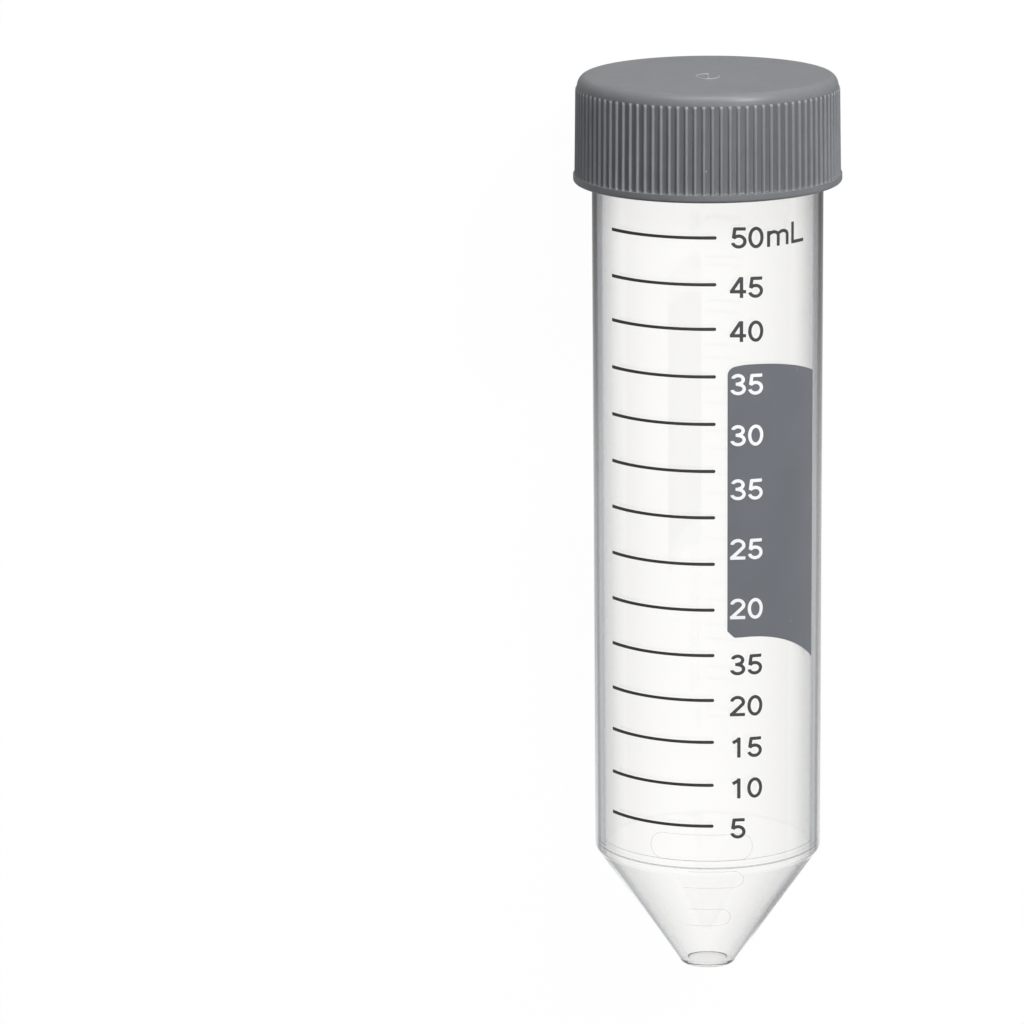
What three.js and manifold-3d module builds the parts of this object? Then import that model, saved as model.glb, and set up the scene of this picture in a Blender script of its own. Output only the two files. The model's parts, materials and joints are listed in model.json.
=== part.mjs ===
// A 50 ml centrifuge tube with a conical bottom, a printed scale and a ribbed screw cap.
//
// Units are millimetres. Every piece is modelled upright about the tube's axis, with z = 0 at the
// tip and the printed front facing -y. The closed tube can't stand on its cone, so the last group
// lays it down with the print on top: it rests on the cap's flange and on the barrel's lower edge,
// with the cap towards +Y. The origin is under the middle of the whole, on the surface it lies on.

import * as THREE from 'three';
import { mergeVertices } from 'three/addons/utils/BufferGeometryUtils.js';
import Module from 'manifold-3d';

const wasm = await Module();
wasm.setup();

// ---------------------------------------------------------------- driving dimensions

// Tube
const barrelRadius = 14.65;       // outside radius of the straight barrel
const wallThickness = 1.1;
const coneHeight = 16.14;         // from the tip to the barrel's lower edge
const barrelLength = 97.91;       // from the barrel's lower edge to the rim
const tipRadius = 3.5;            // flat on the end of the cone
const tipEdge = 0.4;              // bevel round that flat
const tipThickness = 0.95;
const rimEdge = 0.2;              // bevels of the rim

// Screw thread, single start, right-handed
const threadLead = 3;             // rise in one turn
const threadTurns = 1.65;
const threadDepth = 0.6;          // height of the ridges, on the tube and in the cap
const threadClearance = 0.25;     // from each ridge's crest to the wall it faces
const threadRootWidth = 1.4;
const threadCrestWidth = 0.7;
const threadRunOut = 0.06;        // share of the ridge's length in which each end sinks away
const threadSunk = 0.25;          // how far a ridge's root lies inside its wall
const threadBelowRim = 2;         // from the rim to the middle of the upper end of the tube's ridge
const threadAboveMouth = 1.4;     // from the cap's mouth to the middle of its ridge's lower end

// Cap
const capHeight = 13.5;
const capTopThickness = 1.5;
const capWall = 0.85;             // between the bore and the valleys between the ribs
const capEdgeRadius = 1;          // rounding of the top edge
const flangeStep = 0.68;          // how far the flange stands out from the valleys
const flangeHeight = 0.95;
const flangeSlope = 0.2;          // rise of the sloping shoulder above the flange
const flangeEdge = 0.15;          // bevel round the flange's lower edge
const ribCount = 96;
const ribWidth = 0.42;
const ribReachLow = 0.5;          // how far the ribs stand out at the flange
const ribReachHigh = 0.3;         // and at their upper ends
const ribEndBelowTop = 1.4;       // from the cap's top to the ribs' upper ends
const ribRunOut = 0.7;            // length in which a rib's upper end slopes into the wall
const ribSunk = 0.2;              // how far a rib's root lies inside the wall

// Seal
const sealThickness = 1;
const sealClearance = 0.3;        // round the disc, above it, and between it and the rim

// Print
const inkThickness = 0.1;
const inkGap = 0.02;              // between the ink and the corners of the wall
const markCount = 14;
const markBelowCap = 4.71;        // from the cap's mouth down to the highest mark
const markAboveCone = 6.61;       // from the barrel's lower edge up to the lowest mark
const lowMarkPitch = 5.547;       // spacing of the lowest marks; the others share the rest evenly
const lowMarkSteps = 3;
const markWidth = 0.3;
const markLeft = -14.05;          // ends of a mark, measured round the barrel from the front
const markRight = 0.93;
const patchLeft = 2.5;            // edges of the writing patch, measured the same way
const patchRight = 16.5;
const patchBelowCap = 20.95;      // from the cap's mouth down to the patch
const patchLength = 35.2;
const patchCorner = 1;            // bevelled corners on the left
const patchCrest = 5;             // where the top and bottom edges start to droop, round the barrel
const patchTopDroop = 0.017;      // fall of the edges, per square millimetre beyond that
const patchBottomDroop = 0.034;

// Fineness of the curved faces
const roundSides = 40;            // sides of a full circle, whose flats lie at the true radius
const edgeSteps = 3;              // chords in the cap's rounded top edge
const threadStepsPerTurn = 48;
const markColumns = 14;
const patchColumns = 14;

// ---------------------------------------------------------------- sizes that follow from them

const rimHeight = coneHeight + barrelLength;
const innerRadius = barrelRadius - wallThickness;
const tubeCrestRadius = barrelRadius + threadDepth;
const capBore = tubeCrestRadius + threadClearance;
const capCrestRadius = barrelRadius + threadClearance;
const capValleyRadius = capBore + capWall;
const flangeRadius = capValleyRadius + flangeStep;
const capCeiling = capHeight - capTopThickness;
const sealBase = rimHeight + sealClearance;
const capBase = sealBase + sealThickness + sealClearance - capCeiling;
const tubeThreadStart = rimHeight - threadBelowRim - threadLead * threadTurns;
const cornerStretch = 1 / Math.cos(Math.PI / roundSides); // from a flat's distance to a corner's
const inkRadius = barrelRadius * cornerStretch + inkGap;
const lowestMark = coneHeight + markAboveCone;
const evenMarksStart = lowestMark + lowMarkSteps * lowMarkPitch;
const markPitch = (capBase - markBelowCap - evenMarksStart) / (markCount - 1 - lowMarkSteps);
const patchTop = capBase - patchBelowCap;
const patchBottom = patchTop - patchLength;

// ---------------------------------------------------------------- materials

const clearPlastic = new THREE.MeshStandardMaterial({
  color: 0xeef1f2,
  roughness: 0.12,
  metalness: 0,
  transparent: true,
  opacity: 0.35,
});
const capPlastic = new THREE.MeshStandardMaterial({ color: 0x75777a, roughness: 0.5, metalness: 0 });
const sealFoam = new THREE.MeshStandardMaterial({ color: 0xf1f1ec, roughness: 0.8, metalness: 0 });
const patchInk = new THREE.MeshStandardMaterial({ color: 0x777a80, roughness: 0.6, metalness: 0 });
const markInk = new THREE.MeshStandardMaterial({ color: 0x2c2c2e, roughness: 0.5, metalness: 0 });

// ---------------------------------------------------------------- shaping helpers

// A solid of revolution about z from [radius, height] points. One of its flat sides faces +y, so
// the laid-down tube rests on flats. The points run clockwise round the section.
function turned(profile) {
  const points = profile.map(([radius, height]) => new THREE.Vector2(radius * cornerStretch, height));
  const geometry = new THREE.LatheGeometry(points, roundSides);
  geometry.rotateX(Math.PI / 2);
  geometry.rotateZ(Math.PI / roundSides);
  return geometry;
}

// The vertices moved by place(vertex), which changes the vertex it is given.
function reshaped(geometry, place) {
  const position = geometry.attributes.position;
  const vertex = new THREE.Vector3();
  for (let i = 0; i < position.count; i += 1) {
    vertex.fromBufferAttribute(position, i);
    place(vertex);
    position.setXYZ(i, vertex.x, vertex.y, vertex.z);
  }
  return geometry;
}

// A geometry as a solid that can be joined and cut.
function solid(geometry) {
  const bare = geometry.clone();
  bare.deleteAttribute('normal');
  bare.deleteAttribute('uv');
  const merged = mergeVertices(bare);
  const index = merged.index.array;
  const triangles = [];
  for (let i = 0; i < index.length; i += 3) {
    const [a, b, c] = [index[i], index[i + 1], index[i + 2]];
    if (a !== b && b !== c && c !== a) triangles.push(a, b, c);
  }
  return new wasm.Manifold(new wasm.Mesh({
    numProp: 3,
    vertProperties: new Float32Array(merged.attributes.position.array),
    triVerts: new Uint32Array(triangles),
  }));
}

// A joined or cut solid as a geometry.
function surface(body) {
  const mesh = body.getMesh();
  const geometry = new THREE.BufferGeometry();
  geometry.setAttribute('position', new THREE.BufferAttribute(new Float32Array(mesh.vertProperties), 3));
  geometry.setIndex(new THREE.BufferAttribute(new Uint32Array(mesh.triVerts), 1));
  geometry.computeVertexNormals();
  return geometry;
}

function piece(name, geometry, material) {
  const mesh = new THREE.Mesh(geometry, material);
  mesh.name = name;
  return mesh;
}

// ---------------------------------------------------------------- screw thread

// A ridge that winds up a wall: a straight bar of trapezoid section, bent round the z axis.
// `wall` is the wall's radius and `crest` the ridge's; startHeight is the middle of its lower end,
// which lies at startAngle. Both ends sink into the wall.
function threadRidge({ wall, crest, startHeight, startAngle }) {
  const root = wall - Math.sign(crest - wall) * threadSunk;
  const section = new THREE.Shape([
    new THREE.Vector2(-threadRootWidth / 2, root),
    new THREE.Vector2(threadRootWidth / 2, root),
    new THREE.Vector2(threadCrestWidth / 2, crest),
    new THREE.Vector2(-threadCrestWidth / 2, crest),
  ]);
  const bar = new THREE.ExtrudeGeometry(section, {
    depth: 1,
    steps: Math.ceil(threadTurns * threadStepsPerTurn),
    bevelEnabled: false,
  });
  const sunkCrest = wall - Math.sign(crest - wall) * threadSunk / 2;
  return reshaped(bar, (vertex) => {
    const along = vertex.z;
    const fromEnd = Math.min(along, 1 - along);
    const rise = Math.min(1, fromEnd / threadRunOut);
    const onCrest = Math.abs(vertex.y - crest) < Math.abs(vertex.y - root);
    const radius = onCrest ? THREE.MathUtils.lerp(sunkCrest, crest, rise) : root;
    const turn = along * threadTurns;
    const angle = startAngle + turn * 2 * Math.PI;
    const height = startHeight + vertex.x + turn * threadLead;
    vertex.set(radius * Math.cos(angle), radius * Math.sin(angle), height);
  });
}

// The cap's ridge runs midway between the turns of the tube's ridge, so its lower end lies at the
// angle where that line passes its height.
function capThreadAngle() {
  const midway = tubeThreadStart - threadLead / 2;
  const climbed = capBase + threadAboveMouth - midway;
  return (climbed / threadLead) * 2 * Math.PI;
}

// ---------------------------------------------------------------- tube

// The inside of the cone runs parallel to the outside, so its radius at the barrel's lower edge
// and at the floor follow from the cone's slope.
function tube() {
  const slope = (barrelRadius - tipRadius) / (coneHeight - tipEdge);
  const slant = Math.hypot(1, slope);
  const innerConeRadius = (height) => tipRadius + slope * (height - tipEdge) - wallThickness * slant;
  const innerShoulder = tipEdge + (innerRadius - tipRadius + wallThickness * slant) / slope;
  const shell = solid(turned([
    [0, 0],
    [tipRadius - tipEdge, 0],
    [tipRadius, tipEdge],
    [barrelRadius, coneHeight],
    [barrelRadius, rimHeight - rimEdge],
    [barrelRadius - rimEdge, rimHeight],
    [innerRadius + rimEdge, rimHeight],
    [innerRadius, rimHeight - rimEdge],
    [innerRadius, innerShoulder],
    [Math.max(innerConeRadius(tipThickness), wallThickness), tipThickness],
    [0, tipThickness],
  ]));
  const ridge = solid(threadRidge({
    wall: barrelRadius,
    crest: tubeCrestRadius,
    startHeight: tubeThreadStart,
    startAngle: 0,
  }));
  return piece('tube', surface(shell.add(ridge)), clearPlastic);
}

// ---------------------------------------------------------------- cap

// One grip rib, its root inside the wall, sloping into the wall at its upper end.
function rib(angle) {
  const root = capValleyRadius - ribSunk;
  const top = capHeight - ribEndBelowTop;
  const side = new THREE.Shape([
    new THREE.Vector2(root, flangeHeight / 2),
    new THREE.Vector2(capValleyRadius + ribReachLow, flangeHeight / 2),
    new THREE.Vector2(capValleyRadius + ribReachLow, flangeHeight),
    new THREE.Vector2(capValleyRadius + ribReachHigh, top - ribRunOut),
    new THREE.Vector2(root, top + ribRunOut * ribSunk / ribReachHigh),
  ]);
  const bar = new THREE.ExtrudeGeometry(side, { depth: ribWidth, bevelEnabled: false });
  bar.rotateX(Math.PI / 2);
  bar.translate(0, ribWidth / 2, 0);
  bar.rotateZ(angle);
  return bar;
}

// The rounded top edge, from the wall up to the flat.
function capTopEdge() {
  const centre = { radius: capValleyRadius - capEdgeRadius, height: capHeight - capEdgeRadius };
  return Array.from({ length: edgeSteps + 1 }, (_, i) => {
    const angle = (i / edgeSteps) * (Math.PI / 2);
    return [
      centre.radius + capEdgeRadius * Math.cos(angle),
      centre.height + capEdgeRadius * Math.sin(angle),
    ];
  });
}

function cap() {
  let body = solid(turned([
    [0, capCeiling],
    [capBore, capCeiling],
    [capBore, 0],
    [flangeRadius - flangeEdge, 0],
    [flangeRadius, flangeEdge],
    [flangeRadius, flangeHeight],
    [capValleyRadius, flangeHeight + flangeSlope],
    ...capTopEdge(),
    [0, capHeight],
  ]));
  for (let i = 0; i < ribCount; i += 1) {
    body = body.add(solid(rib((i / ribCount) * 2 * Math.PI)));
  }
  body = body.add(solid(threadRidge({
    wall: capBore,
    crest: capCrestRadius,
    startHeight: threadAboveMouth,
    startAngle: capThreadAngle(),
  })));
  const mesh = piece('cap', surface(body), capPlastic);
  mesh.position.z = capBase;
  return mesh;
}

// ---------------------------------------------------------------- seal

function sealLiner() {
  const radius = capBore - sealClearance;
  const disc = turned([
    [0, 0],
    [radius, 0],
    [radius, sealThickness],
    [0, sealThickness],
  ]);
  const mesh = piece('seal_liner', disc, sealFoam);
  mesh.position.z = sealBase;
  return mesh;
}

// ---------------------------------------------------------------- print

// A layer of ink from arc `left` to arc `right` round the barrel, between the heights that low(arc)
// and high(arc) give: a flat plate bent round the axis.
function inkLayer({ left, right, low, high, columns }) {
  const plate = new THREE.BoxGeometry(right - left, 1, inkThickness, columns, 1, 1);
  return reshaped(plate, (vertex) => {
    const arc = vertex.x + (left + right) / 2;
    const angle = arc / barrelRadius;
    const radius = inkRadius + inkThickness / 2 + vertex.z;
    const height = vertex.y > 0 ? high(arc) : low(arc);
    vertex.set(radius * Math.sin(angle), -radius * Math.cos(angle), height);
  });
}

// Heights of the scale marks above the tip, lowest first.
function markHeights() {
  return Array.from({ length: markCount }, (_, i) => {
    const low = Math.min(i, lowMarkSteps);
    return lowestMark + low * lowMarkPitch + (i - low) * markPitch;
  });
}

function scaleMarks() {
  return markHeights().map((height, i) => {
    const layer = inkLayer({
      left: markLeft,
      right: markRight,
      low: () => height - markWidth / 2,
      high: () => height + markWidth / 2,
      columns: markColumns,
    });
    return piece(`scale_mark_${String(i + 1).padStart(2, '0')}`, layer, markInk);
  });
}

// Both edges droop towards the right, and the corners on the left are bevelled.
function writingPatch() {
  const bevel = (arc) => Math.max(0, patchCorner - (arc - patchLeft));
  const beyond = (arc) => Math.max(0, arc - patchCrest) ** 2;
  const layer = inkLayer({
    left: patchLeft,
    right: patchRight,
    low: (arc) => patchBottom + bevel(arc) - patchBottomDroop * beyond(arc),
    high: (arc) => patchTop - bevel(arc) - patchTopDroop * beyond(arc),
    columns: patchColumns,
  });
  return piece('writing_patch', layer, patchInk);
}

// ---------------------------------------------------------------- the whole, laid down

// The axis slopes, because the flange is wider than the barrel's lower edge. Both rest on flats.
function restSlope() {
  return Math.atan2(flangeRadius - barrelRadius, capBase + flangeEdge - coneHeight);
}

const upright = new THREE.Group();
upright.add(tube(), cap(), sealLiner(), writingPatch(), ...scaleMarks());
upright.rotation.x = restSlope() - Math.PI / 2;

const conicalTube = new THREE.Group();
conicalTube.add(upright);
conicalTube.updateMatrixWorld(true);

const extent = new THREE.Box3().setFromObject(conicalTube, true);
const middle = extent.getCenter(new THREE.Vector3());
upright.position.set(-middle.x, -middle.y, -extent.min.z);
conicalTube.updateMatrixWorld(true);

export default conicalTube;
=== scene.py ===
"""A closed 50 ml conical tube: a clear barrel with a printed scale and a grey writing patch, and a
ribbed grey screw cap.

Every piece is modelled upright in millimetres, with z = 0 at the tip, the printed front facing -y
and x to the right of it. place() then lays it down where the frame's mounts say the tube lies.
Distances round the barrel are arc lengths from the middle of the front, positive to the right.
"""

import json
import math

import bmesh
import bpy
import numpy as np
from mathutils import Matrix, Vector

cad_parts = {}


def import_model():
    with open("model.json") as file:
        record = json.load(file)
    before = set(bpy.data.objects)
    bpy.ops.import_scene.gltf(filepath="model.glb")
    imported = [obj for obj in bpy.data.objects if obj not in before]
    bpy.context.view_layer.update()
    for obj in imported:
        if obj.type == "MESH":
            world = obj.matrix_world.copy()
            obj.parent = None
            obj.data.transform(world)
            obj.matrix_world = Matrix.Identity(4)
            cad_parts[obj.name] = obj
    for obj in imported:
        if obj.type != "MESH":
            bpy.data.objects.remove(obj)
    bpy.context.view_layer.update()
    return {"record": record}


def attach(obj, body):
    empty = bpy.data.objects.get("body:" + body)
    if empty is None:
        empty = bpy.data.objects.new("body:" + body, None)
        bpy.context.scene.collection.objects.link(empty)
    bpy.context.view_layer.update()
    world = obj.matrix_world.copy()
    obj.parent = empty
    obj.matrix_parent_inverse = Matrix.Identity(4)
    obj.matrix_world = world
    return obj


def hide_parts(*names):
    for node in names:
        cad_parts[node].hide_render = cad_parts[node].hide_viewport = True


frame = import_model()

# ------------ sizes, in millimetres

MM = 0.001

# Tube
BARREL_RADIUS = 14.65
WALL = 1.1
CONE_HEIGHT = 16.14
RIM_HEIGHT = 114.05
TIP_RADIUS = 3.5
TIP_ROUNDING = 0.45
TIP_TOP = 0.4                 # height where the tip's rounding has ended
SWELL_HEIGHT = 0.75           # height where the outside swells slightly, above that rounding
TIP_SWELL = 0.045
TIP_LIFT = 0.006              # keeps the lying tube's lower edge within the solid's end
TIP_FLOOR = 0.55
INNER_TIP_ROUNDING = 0.25
SHOULDER_ROUNDING = 0.8
INNER_SHOULDER_DROP = 0.45    # below where a wall of even thickness would have its inner edge
INNER_SHOULDER_ROUNDING = 0.6
RIM_ROUNDING = 0.4
PLAIN_RIM = 1.0               # height of the plain band under the rim
CONE_SLOPE = (BARREL_RADIUS - TIP_RADIUS) / CONE_HEIGHT
BORE = BARREL_RADIUS - WALL

# Screw thread, single start, right-handed. Its ridge is wide at the root and narrow at the crest
THREAD_LEAD = 3.0
THREAD_TURNS = 1.65
THREAD_DEPTH = 0.6
THREAD_ROOT = 1.4
THREAD_CREST = 0.7
THREAD_RUN_OUT = 0.1          # share of the thread's length over which each end dies away
THREAD_BELOW_RIM = 2.0
TUBE_THREAD_START = RIM_HEIGHT - THREAD_BELOW_RIM - THREAD_LEAD * THREAD_TURNS

# Cap, its heights counted from its mouth
CAP_HEIGHT = 13.5
CAP_CEILING = 12.0
CAP_BORE = 15.5
CAP_VALLEY = 16.5             # radius of the valleys between the ribs
CAP_TOP_ROUNDING = 1.18       # inwards
CAP_TOP_DROP = 1.55           # downwards
CEILING_ROUNDING = 0.4
MOUTH_ROUNDING = 0.25
FLANGE_RADIUS = 17.02
FLANGE_HEIGHT = 0.95
FLANGE_ROUNDING = 0.35
FLANGE_LIP = 0.28
RIB_COUNT = 96
RIB_PHASE = 2.1               # degrees from the front to the nearest rib
RIB_PITCH = 2 * math.pi * CAP_VALLEY / RIB_COUNT
RIB_HALF_WIDTH = 0.26
RIB_REACH_LOW = 0.35
RIB_REACH_HIGH = 0.18
RIB_TOP = 12.0
RIB_ROUNDED_END = 0.42
RIB_HIGHLIGHT_SPREAD = 1.6         # how far down its sides a rib takes the painted highlight of its crest
RIB_END_HIGHLIGHT = 0.9          # how much paler a painted highlight makes the ribs' upper ends
CAP_THREAD_LOW = 1.4
GATE_OVAL = (1.42, 2.1)       # half its width and half its length
GATE_SHIFT = 1.8              # from the axis towards the front
GATE_OPENING = (25, 85)       # degrees, where the oval is left open
GATE_LINE = 0.15              # radius of its round line
GATE_SUNK = 0.4               # share of that radius by which the line is sunk
GATE_BAR_LINE = 0.12
GATE_BAR_HALF = 1.47          # half the bar's length
GATE_BAR_ASIDE = 0.1          # from the oval's middle to the right

# Seal
SEAL_RADIUS = 15.2
SEAL_THICKNESS = 1.0
SEAL_ROUNDING = 0.2
SEAL_CLEARANCE = 0.3          # above the tube's rim

# Faint lines left by the mould on the clear wall
MOULD_RINGS = ((14.52, 17.05, 0.11), (13.5, 17.84, 0.045))      # radius, height, half thickness
MOULD_RING_REACH = 88         # degrees to each side of the front
# Bars with round ends on the front of the shoulder and the cone: left, right, bottom and top
MOULD_BARS = ((-7.6, 5.9, 18.05, 21.55), (-4.4, 4.7, 13.95, 16.6), (-4.4, 3.0, 7.45, 10.3))
MOULD_LINE = 0.055            # radius of the bars' round line

# Print
INK_GAP = 0.01
INK_THICKNESS = 0.03
MARK_WIDTH = 0.42
MARK_THINNING = 0.12          # share of its width that a line loses in its middle
MARK_END_HALF = 0.004         # half its width where the round end closes
MARK_LEFT = -14.33
MARK_RIGHT = 0.76
MARK_LEAN = 0.0048            # how far the lines shift to the right per millimetre of height
MARK_HEIGHTS = (
    22.75, 28.18, 33.87, 39.39, 45.28, 51.22, 57.19,
    63.22, 69.2, 75.25, 81.32, 87.38, 93.03, 98.94,
)
PATCH_LEFT = 2.5
PATCH_RIGHT = 16.5
PATCH_TOP = 82.7
PATCH_BOTTOM = 47.5
PATCH_CORNER = 1.0
PATCH_BEVEL = 0.9
PATCH_LEFT_FALL = 0.25        # how much lower the top edge is at its left end
PATCH_LEFT_RISE = 2.5         # and the arc over which it makes up for that
PRINT_CREST = 5.0             # arc where the top and bottom edges start to droop
PATCH_TOP_DROOP = 0.017
PATCH_BOTTOM_DROOP = 0.034
LABEL_LEFT = 2.96
LABEL_HEIGHT = 2.65
LABEL_TILT = 0.045            # fall of the numbers per millimetre to the right
LABEL_FALL = 0.17             # and the most they fall
# (text, height of its base above the tip)
LABELS = (
    ("50mL", 97.57), ("45", 91.29), ("40", 85.7), ("35", 78.95), ("30", 72.41),
    ("35", 65.45), ("25", 57.72), ("20", 49.96), ("35", 42.64), ("20", 37.22),
    ("15", 31.75), ("10", 26.34), ("5", 21.03),
)

# Fineness
ROUND = 192                   # points round a plain ring
THREAD_STEP = 0.2
CORD_SIDES = 6
GATE_POINTS = 40
MOULD_RING_POINTS = 97
BAR_END_POINTS = 13
MOULD_LINE_STEP = 0.5
MARK_COLUMNS = 40
MARK_END_COLUMNS = 6
PATCH_COLUMNS = 44
PATCH_CORNER_COLUMNS = 8
GLYPH_CELL = 0.07

# ------------ where the tube lies

mounts = {m["name"]: m for m in frame["record"]["mounts"]}
TIP = Vector(mounts["tip_flat"]["pos_m"])
AXIS = (Vector(mounts["cap_top"]["pos_m"]) - TIP).normalized()
RIGHT = Vector((1, 0, 0))
FRONT = RIGHT.cross(AXIS)
CAP_BASE = (Vector(mounts["cap_top"]["pos_m"]) - TIP).length / MM - CAP_HEIGHT

# From upright millimetres to the lying tube in metres
TURNED = Matrix((RIGHT, -FRONT, AXIS)).transposed().to_4x4()
LAY_DOWN = Matrix.Translation(TIP) @ TURNED @ Matrix.Scale(MM, 4)

# ------------ mesh building


class Shell:
    """A surface built from rings about the z axis, each with a height and one radius or many.
    Every point carries a tone, which the materials read."""

    def __init__(self):
        self.points = []
        self.faces = []
        self.tone = []

    def ring(self, radius, height, tone=0.0):
        self.tone += [tone] * ROUND
        angle = np.arange(ROUND) * 2 * math.pi / ROUND
        first = len(self.points)
        self.points += zip(radius * np.cos(angle), radius * np.sin(angle), [height] * ROUND)
        return list(range(first, first + ROUND))

    def pole(self, height, tone=0.0):
        self.tone.append(tone)
        self.points.append((0, 0, height))
        return [len(self.points) - 1]

    def band(self, a, b):
        """Faces from ring a to ring b. One may have a whole number of times the other's points."""
        if len(a) == 1 or len(b) == 1:
            fan, ring = (a, b) if len(a) == 1 else (b, a)
            self.faces += zip(fan * len(ring), ring, ring[1:] + ring[:1])
            return
        many, few = (a, b) if len(a) >= len(b) else (b, a)
        share = len(many) // len(few)
        for i in range(len(few)):
            run = [many[(i * share + k) % len(many)] for k in range(share + 1)]
            self.faces.append((*run, few[(i + 1) % len(few)], few[i]))

    def through(self, rings):
        for a, b in zip(rings, rings[1:]):
            self.band(a, b)


def filleted(corners, steps=6):
    """A profile of (radius, height) points from (radius, height, rounding) corners."""
    profile = []
    for i, (radius, height, rounding) in enumerate(corners):
        here = Vector((radius, height))
        if not rounding or i in (0, len(corners) - 1):
            profile.append((radius, height))
            continue
        before = (Vector(corners[i - 1][:2]) - here).normalized()
        after = (Vector(corners[i + 1][:2]) - here).normalized()
        half = before.angle(after) / 2
        centre = here + (before + after).normalized() * rounding / math.sin(half)
        start = here + before * rounding / math.tan(half) - centre
        end = here + after * rounding / math.tan(half) - centre
        turn = start.angle_signed(end)
        for k in range(steps + 1):
            spoke = start.copy()
            spoke.rotate(Matrix.Rotation(-turn * k / steps, 2))
            profile.append(tuple(centre + spoke))
    return profile


def add(name, data):
    """A new object in the scene."""
    made = bpy.data.objects.new(name, data)
    bpy.context.scene.collection.objects.link(made)
    return made


def place(name, points, faces, material, body, slot, crease=35):
    """A mesh object from upright millimetres, laid down and riding on its body."""
    mesh = bpy.data.meshes.new(name)
    mesh.from_pydata([tuple(map(float, p)) for p in points], [], faces)
    tidy = bmesh.new()
    tidy.from_mesh(mesh)
    bmesh.ops.recalc_face_normals(tidy, faces=tidy.faces)
    tidy.to_mesh(mesh)
    tidy.free()
    mesh.transform(LAY_DOWN)
    mesh.shade_smooth()
    mesh.set_sharp_from_angle(angle=math.radians(crease))
    mesh.materials.append(material)
    piece = add(name, mesh)
    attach(piece, body)
    return piece


def carry(piece, name, values):
    """Stores one value per point on a piece, for its material."""
    piece.data.attributes.new(name, "FLOAT", "POINT").data.foreach_set("value", values)


def smooth(t):
    """From 0 to 1 along an S-shaped curve."""
    t = np.clip(t, 0, 1)
    return t * t * (3 - 2 * t)


def from_front(radius, angle, height):
    """A point at an angle from the middle of the front, positive to the right."""
    return Vector((radius * math.sin(angle), -radius * math.cos(angle), height))


def quarter(steps, first=0):
    """The sine and cosine of even steps through a quarter turn."""
    angles = np.linspace(0, math.pi / 2, steps + 1)[first:]
    return zip(np.sin(angles), np.cos(angles))


# ------------ screw thread


def thread_levels(start):
    """The heights of the rings that draw a thread which starts at a height."""
    end = start + THREAD_LEAD * THREAD_TURNS
    return np.arange(start - THREAD_ROOT / 2, end + THREAD_ROOT / 2, THREAD_STEP)


def thread_height(height, start_height, start_angle):
    """How far a thread's ridge stands out of its wall at a height, for each point of a ring."""
    angle = np.arange(ROUND) * 2 * math.pi / ROUND - start_angle
    first = (angle / (2 * math.pi)) % 1
    reach = np.zeros(ROUND)
    for turn in (first, first + 1):
        away = np.abs(height - start_height - turn * THREAD_LEAD)
        flank = (THREAD_ROOT / 2 - away) / ((THREAD_ROOT - THREAD_CREST) / 2)
        inside = np.minimum(turn, THREAD_TURNS - turn) / (THREAD_RUN_OUT * THREAD_TURNS)
        reach = np.maximum(reach, smooth(flank) * smooth(inside))
    return reach * THREAD_DEPTH


# ------------ tube

# Which painted edge shade the clear wall takes where it is seen edge on, as the point's tone: none
# in the bore (0), hardly any on the tip's rounding, the cone's on the cone and the barrel's on the
# barrel
ON_TIP = 0.08
ON_CONE = 0.5
ON_BARREL = 1.0

# How grey the wall is made at the base of the tip, and the painted shade on it below the cap
TIP_GREYING = 0.75
GREYED_TIP = 0.02             # height of the greyed base of the tip
UNDER_CAP_SHADE = 0.34
CAP_SHADE_START = CAP_BASE - 6.5   # where the painted shade under the cap sets in
CAP_SHADE_RISE = 4.0               # and how much higher it is full
CAP_SHADE_STEPS = 4


def outer_radius(height):
    """The radius of the tube's outer wall at a height."""
    return min(BARREL_RADIUS, TIP_RADIUS + CONE_SLOPE * height)


def greying_and_shade(x, y, z):
    """How grey the clear wall is made at a point: at the base of the tip, and with painted shade
    below the cap.
    """
    if z <= TIP_LIFT + GREYED_TIP:
        return TIP_GREYING
    in_bore = math.hypot(x, y) < BARREL_RADIUS - WALL / 2
    return 0.0 if in_bore else UNDER_CAP_SHADE * float(smooth((z - CAP_SHADE_START) / CAP_SHADE_RISE))


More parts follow.
